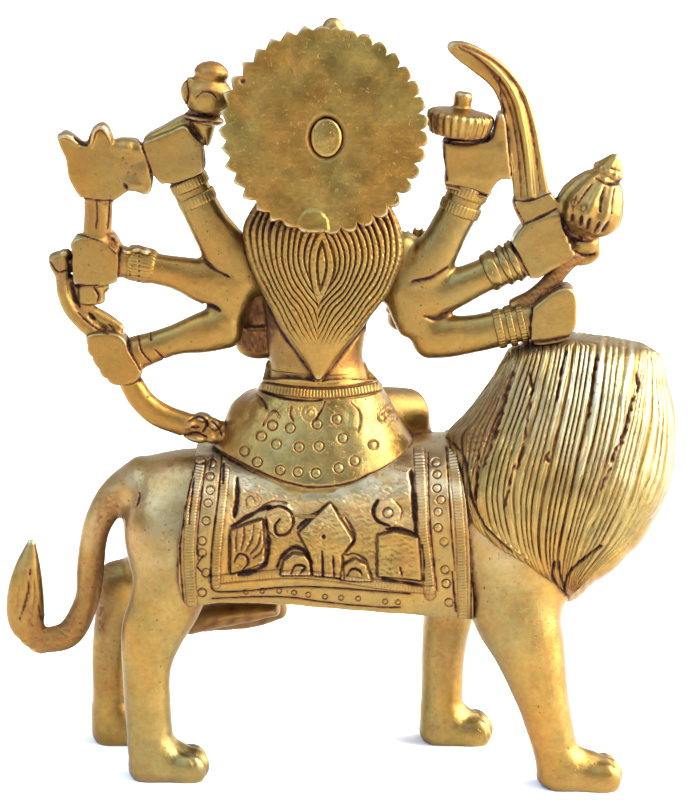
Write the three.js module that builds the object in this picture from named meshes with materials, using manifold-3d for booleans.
// A small cast brass figure: an eight-armed goddess seated on a standing lion, with a scalloped halo plate
// that sits on a peg behind her head. Millimetres, +Z up, +X towards the lion's chest, +Y towards her face.
// The origin is on the ground, under the middle of the figure's bounding box.
import * as THREE from 'three';
import { mergeVertices } from 'three/addons/utils/BufferGeometryUtils.js';
import Module from 'manifold-3d';

const wasm = await Module();
wasm.setup();

// Height of the whole figure, from the paws to the ball on the crown. Pose, proportions and carving are
// given in shares, and one share is a 163rd part of that height.
const figureHeight = 163;
const share = figureHeight / 163;

// Halo plate, and the peg of the casting that it is riveted on
const haloRadius = 21.2;
const haloThickness = 2.0;
const scallopCount = 36;
const scallopDepth = 1.5;
const haloTilt = 8;
const pegHalfWidth = 3.1;
const pegHalfHeight = 3.9;
const pegProud = 0.9;
const pegClearance = 0.3;
const seatGap = 0.3;
const pegRoot = 6;
const haloRoomDepth = 8;
const haloRoomMargin = 0.6;

// Ornament and cloth that stand proud of the casting
const blanketThickness = 1.2;
const borderProud = 0.7;
const bangleProud = 0.9;
const beltProud = 0.7;
const bladeThickness = 3.2;
const maneRibs = 14;
const maneRibDepth = 1.0;
const hairRibs = 11;
const hairRibDepth = 0.8;
const toeRibs = 6;
const toeRibDepth = 0.9;

// Where the middle of the bounding box lies from the pose's own reference point, in shares
const boxMiddle = [-0.1, 4.7];

// Middle of the halo plate's back face
const haloCentre = [-2.7, -10.2, 140.9];

const UP = new THREE.Vector3(0, 0, 1);
const BACK_TO_FRONT = new THREE.Vector3(0, 1, 0);
const ACROSS = new THREE.Vector3(1, 0, 0);

function place(x, y, z) {
  return new THREE.Vector3((x - boxMiddle[0]) * share, (y - boxMiddle[1]) * share, z * share);
}

function toManifold(geometry) {
  const bare = geometry.index ? geometry : geometry.clone();
  bare.deleteAttribute('normal');
  bare.deleteAttribute('uv');
  const merged = mergeVertices(bare, 1e-4);
  const mesh = new wasm.Mesh({
    numProp: 3,
    vertProperties: new Float32Array(merged.attributes.position.array),
    triVerts: new Uint32Array(merged.index.array),
  });
  return new wasm.Manifold(mesh);
}

function toGeometry(solid) {
  const mesh = solid.getMesh();
  const geometry = new THREE.BufferGeometry();
  geometry.setAttribute('position', new THREE.BufferAttribute(new Float32Array(mesh.vertProperties), 3));
  geometry.setIndex(new THREE.BufferAttribute(new Uint32Array(mesh.triVerts), 1));
  geometry.computeVertexNormals();
  return geometry;
}

function joined(solids) {
  return solids.reduce((whole, solid) => whole.add(solid));
}

// One coordinate of a squared-off circle: a square value of 2 is round, and a larger one is boxier.
function roundedTerm(value, square) {
  return Math.sign(value) * Math.abs(value) ** (2 / square);
}

// A closed tube with an oval section along a smooth path. A station is [x, y, z, half width, half depth] in
// shares; depth runs along deepAxis and width across it. Its two ends are domed by cap times their width.
function limb(stations, options = {}) {
  const { sides = 8, cap = 0.6, domeRows = 1, square = 2, deepAxis = BACK_TO_FRONT } = options;
  const { ribs = 0, grow = 0 } = options;
  const capRows = cap > 0 ? domeRows : 1;
  const path = new THREE.CatmullRomCurve3(stations.map(([x, y, z]) => place(x, y, z)));
  const sizes = new THREE.CatmullRomCurve3(
    stations.map(([, , , wide, deep]) => new THREE.Vector3(wide * share + grow, deep * share + grow, 0)),
    false, 'catmullrom');
  const spans = stations.length - 1;
  const rows = [];
  for (let i = 0; i < capRows; i += 1) {
    const angle = (i / capRows) * (Math.PI / 2);
    rows.push({ t: 0, scale: Math.sin(angle), along: -Math.cos(angle) });
  }
  for (let i = 0; i <= spans; i += 1) rows.push({ t: i / spans, scale: 1, along: 0 });
  for (let i = capRows - 1; i >= 0; i -= 1) {
    const angle = (i / capRows) * (Math.PI / 2);
    rows.push({ t: 1, scale: Math.sin(angle), along: Math.cos(angle) });
  }
  const geometry = new THREE.SphereGeometry(1, sides, rows.length - 1);
  const position = geometry.attributes.position;
  for (let row = 0; row < rows.length; row += 1) {
    const { t, scale, along } = rows[row];
    const centre = path.getPoint(t);
    const tangent = path.getTangent(t);
    const across = new THREE.Vector3().crossVectors(deepAxis, tangent).normalize();
    const deep = new THREE.Vector3().crossVectors(across, tangent);
    const size = sizes.getPoint(t);
    const fade = Math.sin(Math.PI * Math.min(1, Math.max(0, t)));
    for (let side = 0; side <= sides; side += 1) {
      const turn = (side / sides) * 2 * Math.PI;
      const rib = side % 2 === 1 ? ribs * fade ** 0.5 : 0;
      const wide = roundedTerm(Math.cos(turn), square) * (size.x - rib) * scale;
      const thick = roundedTerm(Math.sin(turn), square) * (size.y - rib) * scale;
      const point = centre.clone()
        .addScaledVector(tangent, along * cap * size.x)
        .addScaledVector(across, wide)
        .addScaledVector(deep, thick);
      position.setXYZ(row * (sides + 1) + side, point.x, point.y, point.z);
    }
  }
  return toManifold(geometry);
}

// A thick flat shape seen from behind: an outline of [x, z] corners, between two depths, with softened edges.
function slab(outline, near, far, soften = 0.8) {
  const flat = ([x, z]) => new THREE.Vector2((x - boxMiddle[0]) * share, z * share);
  const shape = new THREE.Shape(outline.map(flat));
  const edge = soften * share;
  const depth = (far - near) * share - 2 * edge;
  const geometry = new THREE.ExtrudeGeometry(shape, {
    depth,
    bevelEnabled: soften > 0,
    bevelSegments: 1,
    bevelThickness: edge,
    bevelSize: edge,
    bevelOffset: -edge,
  });
  geometry.rotateX(Math.PI / 2);
  geometry.translate(0, (far - boxMiddle[1]) * share - edge, 0);
  return toManifold(geometry);
}

// An oval ball, turned about the front-to-back axis by tilt degrees.
function ball(x, y, z, wide, deep, tall, tilt = 0, sides = 10) {
  const geometry = new THREE.SphereGeometry(1, sides, Math.max(5, Math.round(sides * 0.6)));
  geometry.rotateX(Math.PI / 2);
  geometry.scale(wide * share, deep * share, tall * share);
  geometry.rotateY(THREE.MathUtils.degToRad(tilt));
  const centre = place(x, y, z);
  geometry.translate(centre.x, centre.y, centre.z);
  return toManifold(geometry);
}

// A turned shape: profile pairs of [radius, height] about an axis from a foot point along a direction.
function turned(foot, direction, profile, sides = 12) {
  const points = profile.map(([radius, height]) => new THREE.Vector2(radius * share, height * share));
  const geometry = new THREE.LatheGeometry(points, sides);
  const axis = new THREE.Vector3(...direction).normalize();
  geometry.applyQuaternion(new THREE.Quaternion().setFromUnitVectors(BACK_TO_FRONT, axis));
  const start = place(...foot);
  geometry.translate(start.x, start.y, start.z);
  return toManifold(geometry);
}

// Bangles: short raised bands across a limb, from one station to another.
function bangles(from, to, count, proud = bangleProud) {
  const pitch = 1 / count;
  const gap = 0.22 * pitch;
  const mix = (a, b, t) => a.map((value, i) => value + (b[i] - value) * t);
  const bands = [];
  for (let i = 0; i < count; i += 1) {
    const band = [mix(from, to, i * pitch + gap), mix(from, to, (i + 1) * pitch - gap)];
    bands.push(limb(band, { cap: 0, grow: proud }));
  }
  return joined(bands);
}

// The oval outline of the halo peg, or of the hole around it, grown by a clearance.
function pegOval(clearance, sides = 24) {
  const oval = [];
  for (let i = 0; i < sides; i += 1) {
    const turn = (i / sides) * 2 * Math.PI;
    oval.push(new THREE.Vector2(
      Math.cos(turn) * (pegHalfWidth + clearance), Math.sin(turn) * (pegHalfHeight + clearance)));
  }
  return oval;
}

// Places a shape drawn on the halo's own plane: its depth 0 is the plate's back face, towards the head.
function onHalo(geometry) {
  geometry.rotateX(Math.PI / 2 - THREE.MathUtils.degToRad(haloTilt));
  const centre = place(...haloCentre);
  geometry.translate(centre.x, centre.y, centre.z);
  return geometry;
}

function haloPlate() {
  const shape = new THREE.Shape();
  const pointsPerScallop = 3;
  for (let i = 0; i < scallopCount * pointsPerScallop; i += 1) {
    const turn = (i / (scallopCount * pointsPerScallop)) * 2 * Math.PI;
    const swell = Math.abs(Math.sin((i / pointsPerScallop) * Math.PI));
    const radius = haloRadius - scallopDepth * (1 - swell);
    const corner = [Math.cos(turn) * radius, Math.sin(turn) * radius];
    if (i === 0) shape.moveTo(...corner);
    else shape.lineTo(...corner);
  }
  shape.closePath();
  shape.holes.push(new THREE.Path(pegOval(pegClearance)));
  return onHalo(new THREE.ExtrudeGeometry(shape, { depth: haloThickness, bevelEnabled: false }));
}

function haloPeg() {
  const length = pegRoot + seatGap + haloThickness + pegProud;
  const shape = new THREE.Shape(pegOval(0));
  const geometry = new THREE.ExtrudeGeometry(shape, { depth: length, bevelEnabled: false });
  geometry.translate(0, 0, -pegRoot - seatGap);
  return toManifold(onHalo(geometry));
}

function lion() {
  const trunk = limb([
    [-38, 1, 55, 13.9, 12.6], [-12, 0, 54.6, 15.6, 14.4], [10, 0, 55, 15.8, 14.4],
    [26, -0.5, 56, 16, 15],
    [36, -1, 57.4, 17.8, 15],
  ], { sides: 14, cap: 0.42, square: 2.4 });
  const chest = limb([
    [38, -1, 66, 14, 14], [42, -2, 50, 10.5, 12.5], [44, -3, 41, 6.9, 9.6],
  ], { sides: 10 });
  return joined([trunk, chest, lionTail(), ...lionLegs(), lionMane(), lionFace()]);
}

function lionTail() {
  const stem = limb([
    [-42, 0, 63, 5.6, 5], [-47.6, 0, 60.6, 4.1, 3.6], [-52.2, 0, 54, 3, 2.8], [-54, 0.5, 43, 2.9, 2.6],
    [-55, 1, 36.4, 2.7, 2.5], [-59.2, 1, 28.8, 2.9, 2.5], [-65.4, 0, 27.5, 2.9, 2.3],
  ]);
  const tuft = limb([
    [-65.6, 0, 28, 2.3, 1.9], [-67.8, 0, 32, 4, 2.7], [-68, 0, 38, 4, 2.9], [-67.4, 0, 44, 3, 2.1],
    [-66.4, 0, 50, 1, 0.8],
  ]);
  return stem.add(tuft);
}

// A leg down to its ankle, then a paw that points along +X with toes and a flat sole on the ground.
function leg(stations, paw) {
  const [x, y, length, width] = paw;
  const shank = limb(stations, { cap: 0.2 });
  const pad = limb([
    [x - 1.6, y, 3.4, 6, width * 0.94], [x + length * 0.35, y, 4.2, 6.4, width * 1.04],
    [x + length * 0.85, y, 2.6, 5.6, width * 1.04],
  ], { sides: 2 * toeRibs, ribs: toeRibDepth, cap: 0.42, square: 2.4 });
  return shank.add(pad);
}

function lionLegs() {
  const nearHind = leg([
    [-35, -5.6, 54, 10, 9], [-36.4, -8.4, 42, 8, 7], [-40.2, -9, 32, 6.6, 5.4],
    [-41.5, -9, 24, 5.2, 4.4],
    [-40.9, -9, 7, 4.8, 4.3],
  ], [-40.6, -8.8, 10.4, 4.8]);
  const farHind = leg([
    [-33.5, 7.6, 50, 8.6, 8.4], [-41.6, 11, 39.5, 6.7, 6], [-48, 12.6, 32, 5.6, 4.8],
    [-50.2, 13, 23, 4.7, 4.2],
    [-50.7, 13, 7, 4.6, 4.3],
  ], [-50.6, 13, 9.6, 4.9]);
  const nearFront = leg([
    [35, -9, 50, 11, 7], [37.4, -11, 38, 9.4, 6.6], [40.8, -12.8, 28, 7.2, 5.6],
    [43.5, -13.9, 17.6, 5.4, 4.7],
    [46.4, -14, 6.4, 4.6, 4.5],
  ], [48, -14, 10.6, 5]);
  const farFront = leg([
    [25, 8, 46, 8, 6], [24.2, 11, 34, 6, 5.2], [22.8, 12.8, 20, 4.8, 4.4], [22.5, 13, 7, 4.5, 4.3],
  ], [22.6, 13, 9.4, 4.8]);
  return [nearHind, farHind, nearFront, farFront];
}

function lionMane() {
  return limb([
    [49.4, -3, 41.4, 3.2, 3], [49.1, -3, 50, 14, 10], [48.9, -2, 60, 20.7, 14.4],
    [48.7, -1, 74, 23.1, 15.2],
    [50.8, -1, 86, 19.2, 12.6], [51.5, -1, 92.4, 16.8, 9.5],
  ], { sides: maneRibs * 2, ribs: maneRibDepth, cap: 0.1, square: 2.4 });
}

function lionFace() {
  const forward = { deepAxis: UP, cap: 0.4 };
  const skull = limb([
    [50, 6, 76, 12, 13], [50, 14, 75, 11, 12], [50, 19, 74, 8, 9],
  ], { ...forward, sides: 10 });
  const muzzle = limb([[50, 17, 69, 6.6, 6], [50, 26, 68.6, 4.8, 4.4]], forward);
  const jaw = limb([[50, 16, 62.6, 5, 2.4], [50, 24, 62.4, 3.8, 2]], { ...forward, sides: 6 });
  const nose = limb([[50, 18, 77.5, 2.6, 2], [50, 27.6, 73, 2.8, 1.7]], { ...forward, sides: 6 });
  const features = [-1, 1].flatMap((side) => [
    ball(50 + side * 5, 20.4, 76.4, 2.2, 1.7, 1.7, 0, 6),
    ball(50 + side * 11.5, 9, 87.5, 3.2, 2, 3.8, -side * 28, 6),
  ]);
  return joined([skull, muzzle, jaw, nose, ...features]);
}

// The saddle cloth follows the trunk, hangs past its flanks and is cut to its hem, with raised borders.
function saddleCloth() {
  const course = [
    [-40, 0, 53.2, 15.8, 14.8], [-6, 0, 53, 17.4, 15], [14, 0, 53.2, 17.6, 15.2],
    [36, -0.5, 53.4, 18.8, 15.6],
  ];
  const cover = (grow, outline, farSide = 30) => limb(course, { sides: 12, square: 3, grow, cap: 0.1 })
    .intersect(slab(outline, -30, farSide, 0));
  const cloth = cover(blanketThickness, [
    [-33.2, 40.4], [-27, 40.2], [-12, 39.6], [2, 38.4], [16, 36.9], [27.6, 36.2],
    [27.3, 52], [26.4, 64], [23.6, 76], [-30.5, 75], [-33, 62], [-34, 52],
  ]);
  const proud = blanketThickness + borderProud;
  const raised = [
    [[-33.2, 40.6], [-31, 40.7], [-31.6, 52], [-28.4, 72], [-30.5, 75], [-34, 52]],
    [[24.8, 37.2], [27.6, 36.9], [27.3, 52], [24.2, 75], [21.8, 75], [24.6, 52]],
    [[-29, 44.6], [2, 45], [17.4, 43.2], [17.6, 72], [15.4, 72], [15.2, 45.6], [2, 47], [-26.8, 46.6],
      [-24.4, 71], [-26.4, 71]],
  ];
  const borders = raised.map((outline) => cover(proud, outline));
  const motifs = clothMotifs().map((outline) => cover(proud, outline, 0));
  return joined([cloth, ...borders, ...motifs]);
}

// Blocks, a central flower and half rounds that stand in the sunk panel of the near flank.
function clothMotifs() {
  const flower = [[-5.6, 48], [-1.2, 47.8], [2.8, 54.4], [-2.6, 62], [-8.8, 55.6]];
  const leftBlock = [[-25.2, 49.6], [-19, 50.4], [-18.8, 58.4], [-24.4, 57]];
  const rightBlock = [[8.6, 47.8], [14.2, 47], [14.2, 54.6], [8.4, 56]];
  const halfRound = (x, z, radius) => [
    [x - radius, z], [x + radius, z], [x + radius * 0.7, z + radius * 0.8],
    [x - radius * 0.7, z + radius * 0.8],
  ];
  return [flower, leftBlock, rightBlock, halfRound(-12, 49, 3.4), halfRound(4.8, 48.4, 3)];
}

// Hips in a tied cloth, waist, belt, chest and neck.
function torso() {
  const body = limb([
    [-6, 0, 68, 20.4, 13.4], [-5.8, 0, 75.4, 20, 13.2], [-4.9, 0, 80.8, 15.6, 11],
    [-4.7, 0, 85, 11.6, 8.8],
    [-5.2, 0, 91.6, 9.9, 7.2], [-4.4, 0.5, 104, 11.8, 8], [-3.4, 0, 114, 14.6, 7.4],
    [-3, -0.5, 121, 7.6, 5.2],
    [-3, -0.5, 127, 4.6, 4.4],
  ], { sides: 12, cap: 0.1 });
  const ring = { sides: 12, cap: 0, grow: beltProud };
  const belt = limb([[-4.6, 0, 82.2, 13.6, 10.2], [-4.6, 0, 84.6, 11.8, 9.2]], ring);
  const collar = limb([[-3.2, 1.2, 116.6, 10.4, 7], [-3.2, 0.8, 118.6, 8.6, 6.2]], ring);
  const breasts = [-1, 1].map((side) => ball(-3.6 + side * 5.2, 5, 108.6, 4.8, 5, 4.8, 0, 8));
  return joined([body, belt, collar, ...breasts]);
}

// Her right leg is folded on the lion's back and the left one hangs down its far flank.
function legs() {
  const foldedThigh = limb([
    [2, 4, 75, 8, 7.6], [9.6, 8, 76, 7.4, 7.2], [15.8, 11, 75.4, 6.8, 6.6],
  ], { sides: 10 });
  const foldedShin = limb([
    [14, 13, 73.6, 4.6, 4.4], [-2, 18.6, 70.6, 3.2, 3.2], [-12, 18.6, 71.4, 2.2, 1.6],
  ], { deepAxis: UP });
  const hangingThigh = limb([[-13, 4, 76, 8, 7.6], [-18, 15.4, 74, 6.2, 6.2]], { deepAxis: UP });
  const hangingShin = limb([
    [-18.4, 17.6, 74, 5, 5], [-18.8, 20, 60, 4.6, 4.2], [-18.2, 19.4, 46, 3.6, 3.4],
    [-17, 18.4, 33, 2.7, 2.7],
  ]);
  const hangingFoot = limb([
    [-15.4, 18, 29.2, 2.8, 2.8], [-22, 18.4, 27.6, 2.8, 3], [-31.6, 19, 25.5, 2.3, 2.6],
  ]);
  const frontCloth = limb([[-10, 12, 74, 3, 8], [-8, 17.4, 64, 1.6, 6], [-7, 17, 48, 1.1, 5.6]],
    { deepAxis: ACROSS, sides: 6 });
  return joined([foldedThigh, foldedShin, hangingThigh, hangingShin, hangingFoot, frontCloth]);
}

function head() {
  const skull = ball(-3, -0.4, 136, 7.8, 8.6, 9.8);
  const jaw = limb([[-3, 1.6, 132.6, 6.2, 6.4], [-3, 2.6, 128.4, 3.4, 3.8]], { sides: 6 });
  const nose = limb([[-3, 8, 137.4, 0.8, 0.9], [-3, 9.2, 134, 1.3, 1]], { sides: 5 });
  const eyes = [-1, 1].map((side) => ball(-3 + side * 3, 7.4, 136.8, 1.5, 0.9, 0.8, 0, 6));
  const earrings = [-1, 1].map((side) => ball(-3 + side * 8.2, 1, 130.5, 1.4, 2.4, 2.4, 0, 6));
  const hairBack = ball(-3, -3, 133, 10.4, 6.8, 12);
  const crown = turned([-3, -0.6, 141.6], [0.12, 0, 1], [
    [0, 0], [9, 0], [9, 2.4], [7.4, 2.8], [7.4, 6.4], [5.8, 7.2], [5.4, 11], [1.6, 15], [0, 17.8],
  ], 10);
  const finial = ball(-1.5, -1, 160.8, 2.1, 2.1, 2.2, 0, 8);
  return joined([skull, jaw, nose, ...eyes, ...earrings, hairBack, crown, finial]);
}

// Long hair that falls to a point at the waist, in flowing locks.
function hairFall() {
  return limb([
    [-2.6, -3.6, 127, 11, 6], [-2.9, -5, 121.5, 15.6, 6], [-3.2, -5.8, 113.6, 16.4, 5.4],
    [-2.9, -6.4, 103.6, 11.8, 4.2],
    [-3.7, -6.6, 94.6, 5, 3.2], [-4, -6.6, 90.3, 1.6, 2.2],
  ], { sides: hairRibs * 2, ribs: hairRibDepth, cap: 0.4, square: 2.2 });
}

function upperLeftArm() {
  const arm = limb([
    [-20.8, -2, 108, 5.2, 4], [-23.6, -2.5, 113.8, 5.2, 3.8], [-27.2, -3, 120, 4.3, 3.4],
    [-31, -3, 127.6, 4, 3.3],
  ]);
  const cuffs = bangles([-29.3, -3, 124.4, 3.7, 3.2], [-31.8, -3, 129.8, 3.8, 3.3], 2);
  const hand = slab([
    [-40.2, 130], [-36, 127.4], [-28, 131.2], [-27.8, 137.5], [-27.4, 142.6], [-31.5, 142.4],
    [-36.5, 139.8],
    [-41.6, 137.4], [-40, 133],
  ], -7.2, 0.6, 1.2);
  const conch = joined([
    turned([-28.9, -3.4, 139.9], [0.24, 0, 1], [
      [0, 0], [3.4, 0.8], [3.2, 2.6], [4.4, 5.6], [4.2, 8.6], [3.7, 10.8], [2.4, 13.2], [0, 14],
    ], 8),
    ball(-30.8, -3.4, 147.4, 2, 2, 3.2, -10, 6),
  ]);
  return joined([arm, cuffs, hand, conch, lotus()]);
}

function lotus() {
  const bud = slab([
    [-57.9, 139], [-56.7, 139.6], [-52.8, 136.8], [-51.3, 140.2], [-49.8, 141.3], [-48.2, 140.4],
    [-47.2, 137.2],
    [-41.4, 137.6], [-39.5, 133], [-38.7, 128.4], [-40.2, 126.7], [-46.4, 125.6], [-53.7, 126],
    [-56.4, 133],
  ], -7, 0.4, 0.9);
    const stem = limb([
      [-50, -3.4, 128, 3.4, 3], [-50, -3.4, 123, 3.2, 2.8], [-50.4, -3.4, 117, 3, 2.6],
    ]);
  return bud.add(stem);
}

function middleLeftArm() {
  const arm = limb([
    [-21, -2, 105.6, 6.4, 4], [-28.7, -3, 108, 4.7, 3.6], [-35, -3, 109.8, 3.4, 3],
    [-43.5, -3, 111.5, 3.5, 3],
  ]);
  const cuffs = bangles([-38.8, -3, 111, 3.7, 3], [-44.8, -3, 112, 3.9, 3], 1);
  const hand = slab([
    [-55.9, 118.3], [-54, 119.4], [-48.2, 118.6], [-44.6, 115.8], [-45.2, 108.4], [-51, 107.9],
    [-55.1, 107.3],
    [-56.4, 109.8], [-56, 112.6], [-56.6, 115],
  ], -6.6, 0.4, 1.1);
  const stub = limb([[-52, -3.4, 109, 3, 2.4], [-51.9, -3.4, 103.8, 2.9, 2.1]], { cap: 0.2 });
  return joined([arm, cuffs, hand, stub]);
}

function lowerLeftArm() {
  const arm = limb([
    [-21.8, -2, 99, 6, 4], [-28.4, -3, 97, 4.6, 3.4], [-35.3, -3, 95.1, 3.2, 2.8],
    [-43, -3, 92.6, 3.6, 3],
  ]);
  const cuffs = bangles([-38.4, -3, 93.8, 3.2, 2.8], [-43.8, -3, 92.4, 3.9, 3.1], 1);
  const hand = slab([
    [-52.9, 96.8], [-48.5, 97.2], [-43.8, 96], [-41.9, 89.9], [-42.6, 86.4], [-46.6, 86.4], [-48.3, 87],
    [-50.7, 90.3],
    [-52.5, 93.5],
  ], -6.4, 0.2, 1.1);
  return joined([arm, cuffs, hand, bow()]);
}

// The bow: a recurved stave through the lower hand, and its string beside the upper half.
function bow() {
  const upper = limb([
    [-58.6, -3.2, 112.4, 3, 2.2], [-57.8, -3.2, 107, 2.1, 1.9], [-56, -3.2, 102, 2.1, 1.9],
    [-48, -3.2, 92, 2.1, 1.9],
  ]);
  const lower = limb([
    [-45.6, -3.2, 89, 2.4, 2], [-41.8, -3.2, 82.2, 2.8, 2.1], [-37.2, -3.2, 78.6, 2.8, 2.1],
    [-29, -3, 75.9, 2.8, 2.1],
    [-24.4, -2, 74.6, 2.8, 2.2],
  ], { sides: 6 });
  const string = limb([[-53, -2.4, 103.6, 1.3, 1.2], [-45, -2.6, 95.6, 1.3, 1.2]], { sides: 5 });
  return joined([upper, lower, string]);
}

function upperRightArm() {
  const arm = limb([
    [15.4, -2, 105, 5.2, 4], [18.6, -3, 111.4, 4.8, 3.8], [22.4, -3, 118.4, 4.1, 3.4],
    [26, -3, 126, 4.2, 3.4],
  ]);
  const cuffs = bangles([24.4, -3, 122, 4, 3.3], [27, -3, 128.6, 4.3, 3.4], 2);
  const hand = slab([
    [21.3, 128.6], [20.6, 139], [31, 140], [33.4, 143.2], [34.8, 138], [35.6, 129.8], [32.8, 129.4],
    [30.6, 127],
  ], -7, 0.4, 1);
  const chakra = turned([25.1, -3.4, 138.9], [-0.02, 0, 1], [
    [0, 0], [5.8, 0], [6.9, 1], [6.9, 3.6], [5.8, 4.8], [2, 5], [2, 8], [0, 8.8],
  ], 10);
  return joined([arm, cuffs, hand, chakra]);
}

// The sword: a guard on the hand and a curved blade, its outer edge a single bow.
function sword() {
  const outer = [
    [43.2, 127.6], [42.2, 136.6], [40.3, 142.4], [38.4, 147], [35.7, 151], [32.3, 154.2], [28.4, 156.4],
    [22.6, 158],
  ];
  const inner = [
    [21.1, 156.2], [25.4, 153.2], [29, 150.2], [31.4, 146.8], [32.9, 142.6], [35.6, 127.6],
  ];
  const halfBlade = bladeThickness / share / 2;
  const blade = slab([...outer, ...inner], -3.4 - halfBlade, -3.4 + halfBlade, 0.6);
  const guard = slab([
    [43, 128.6], [45.6, 124.6], [44.4, 121.4], [37.6, 120.8], [35.6, 124.6], [35.5, 127.8],
  ], -6.6, 0, 0.9);
  return blade.add(guard);
}

function middleRightArm() {
  const arm = limb([
    [16.4, -2, 102.8, 5, 4], [23.8, -3, 106.2, 4.1, 3.6], [29.6, -3, 108.9, 3.6, 3.3],
    [36, -3, 111.8, 4.2, 3.4],
  ]);
  const cuffs = bangles([30.4, -3, 109.5, 4, 3.4], [36.8, -3, 112.3, 4.6, 3.6], 1);
  const hand = slab([
    [39.4, 107.8], [35.4, 112.1], [36.6, 119], [40, 122.2], [45.6, 122.2], [48.6, 118.6], [49.8, 114.7],
    [46, 110.4],
  ], -7, 0.4, 1.1);
  return joined([arm, cuffs, hand, sword()]);
}

function lowerRightArm() {
  const arm = limb([
    [17.2, -2, 96.3, 6.7, 4], [23, -3, 96.1, 4.7, 3.4], [28.4, -3, 96.7, 4.2, 3], [36, -3, 98.5, 4.2, 3.3],
  ]);
  const cuffs = bangles([31.9, -3, 97.4, 4.1, 3.2], [38.6, -3, 99, 4.6, 3.5], 1);
  const hand = slab([
    [38.2, 94.6], [38.2, 101.6], [43, 104.6], [46.2, 106.8], [49, 106.4], [49.4, 101], [48.2, 95.6],
  ], -6.8, 0.6, 1.1);
  return joined([arm, cuffs, hand, mace()]);
}

function mace() {
  const along = [0.42, 0, 0.9];
  const shaft = limb([
    [36.6, -1.4, 101.8, 1.8, 1.5], [43, -2.4, 106.4, 2, 1.6], [47.4, -3.4, 110.6, 2.4, 1.8],
    [50.2, -3.4, 116.4, 2.4, 1.9],
  ]);
  const headProfile = [
    [0, 0], [3.4, 0.2], [3, 2.6], [7, 8], [7.2, 11.4], [4, 15], [3, 17], [0, 21.2],
  ];
  return shaft.add(turned([49.2, -3.4, 115.6], along, headProfile, 10));
}

// Her two front arms: the right hand raised in blessing, the left one resting on the thigh.
function frontArms() {
  const raisedUpper = limb([
    [9.6, 1, 113, 4.4, 4], [12.8, 4.6, 105, 3.8, 3.6], [13.6, 7, 97.6, 3.4, 3.4],
  ], { sides: 6 });
  const raisedFore = limb([[13.6, 7.4, 97, 3.3, 3.3], [15.6, 11, 106, 2.3, 2.2]], { sides: 6 });
  const palm = limb([
    [15.8, 11, 105, 2.6, 1.7], [16.2, 11, 109, 3.4, 1.6], [16.6, 9.6, 116.6, 2.8, 1],
  ], { sides: 6, square: 2.6 });
  const thumb = limb([[13.4, 11, 108, 1, 1], [12, 11.2, 112.4, 0.9, 0.9]], { sides: 5 });
  const restingUpper = limb([
    [-16, 1, 113, 4.4, 4], [-17, 3.6, 105, 4.2, 3.8], [-17.8, 5, 92.2, 4.5, 3.8],
  ]);
  const restingFore = limb([
    [-17, 5.6, 93.8, 3.4, 3.2], [-11.4, 15, 87, 2.4, 2.4],
  ], { deepAxis: UP, sides: 6 });
  const restingHand = limb([
    [-11.8, 14.4, 86.6, 2.9, 1.9], [-10.4, 19, 82.6, 3, 1.7], [-10, 21.6, 79.4, 2.2, 1.3],
  ], { deepAxis: UP, sides: 6 });
  return joined([raisedUpper, raisedFore, palm, thumb, restingUpper, restingFore, restingHand]);
}

// The plates of metal behind the shoulders that the raised arms spring from.
function shoulderFans() {
  const left = limb([
    [-21.6, -1.6, 114.6, 4.4, 3.8], [-20.6, -1.6, 107, 4.6, 3.8], [-21.6, -1.8, 99.6, 5, 3.8],
  ]);
  const right = limb([
    [11.4, -1.4, 115, 5, 3.8], [14, -1.6, 106, 5.2, 3.8], [17, -1.8, 97.4, 4.8, 3.8],
  ]);
  const link = limb([
    [-21, -1, 110, 6, 3.6], [-3.4, 0, 112, 6.6, 4], [13, -1, 108, 6, 3.6],
  ], { deepAxis: BACK_TO_FRONT, sides: 6 });
  return joined([left, right, link]);
}

function casting() {
  const figure = joined([
    lion(), saddleCloth(), torso(), legs(), head(), hairFall(), shoulderFans(), frontArms(),
    upperLeftArm(), middleLeftArm(), lowerLeftArm(), upperRightArm(), middleRightArm(), lowerRightArm(),
  ]);
  const ground = new THREE.BoxGeometry(3 * figureHeight, 3 * figureHeight, figureHeight);
  ground.translate(0, 0, -figureHeight / 2);
  return figure.subtract(toManifold(ground)).subtract(haloRoomCut()).add(haloPeg());
}

// The halo's room, kept to the plate's own round outline, so that only what lies behind the plate is cut.
function haloRoomCut() {
  const rim = haloRadius + haloRoomMargin;
  const room = new THREE.CylinderGeometry(rim, rim, haloThickness + 2 * seatGap + haloRoomDepth, 48);
  room.rotateX(Math.PI / 2);
  room.translate(0, 0, (haloThickness + haloRoomDepth) / 2);
  return toManifold(onHalo(room));
}

const brass = new THREE.MeshStandardMaterial({ color: 0xb08d45, roughness: 0.32, metalness: 1 });
const haloBrass = new THREE.MeshStandardMaterial({ color: 0xab8a4e, roughness: 0.38, metalness: 1 });

const castingMesh = new THREE.Mesh(toGeometry(casting()), brass);
castingMesh.name = 'durga_lion_casting';
const haloMesh = new THREE.Mesh(toGeometry(toManifold(haloPlate())), haloBrass);
haloMesh.name = 'halo_plate';

const figure = new THREE.Group();
figure.add(castingMesh, haloMesh);

export default figure;
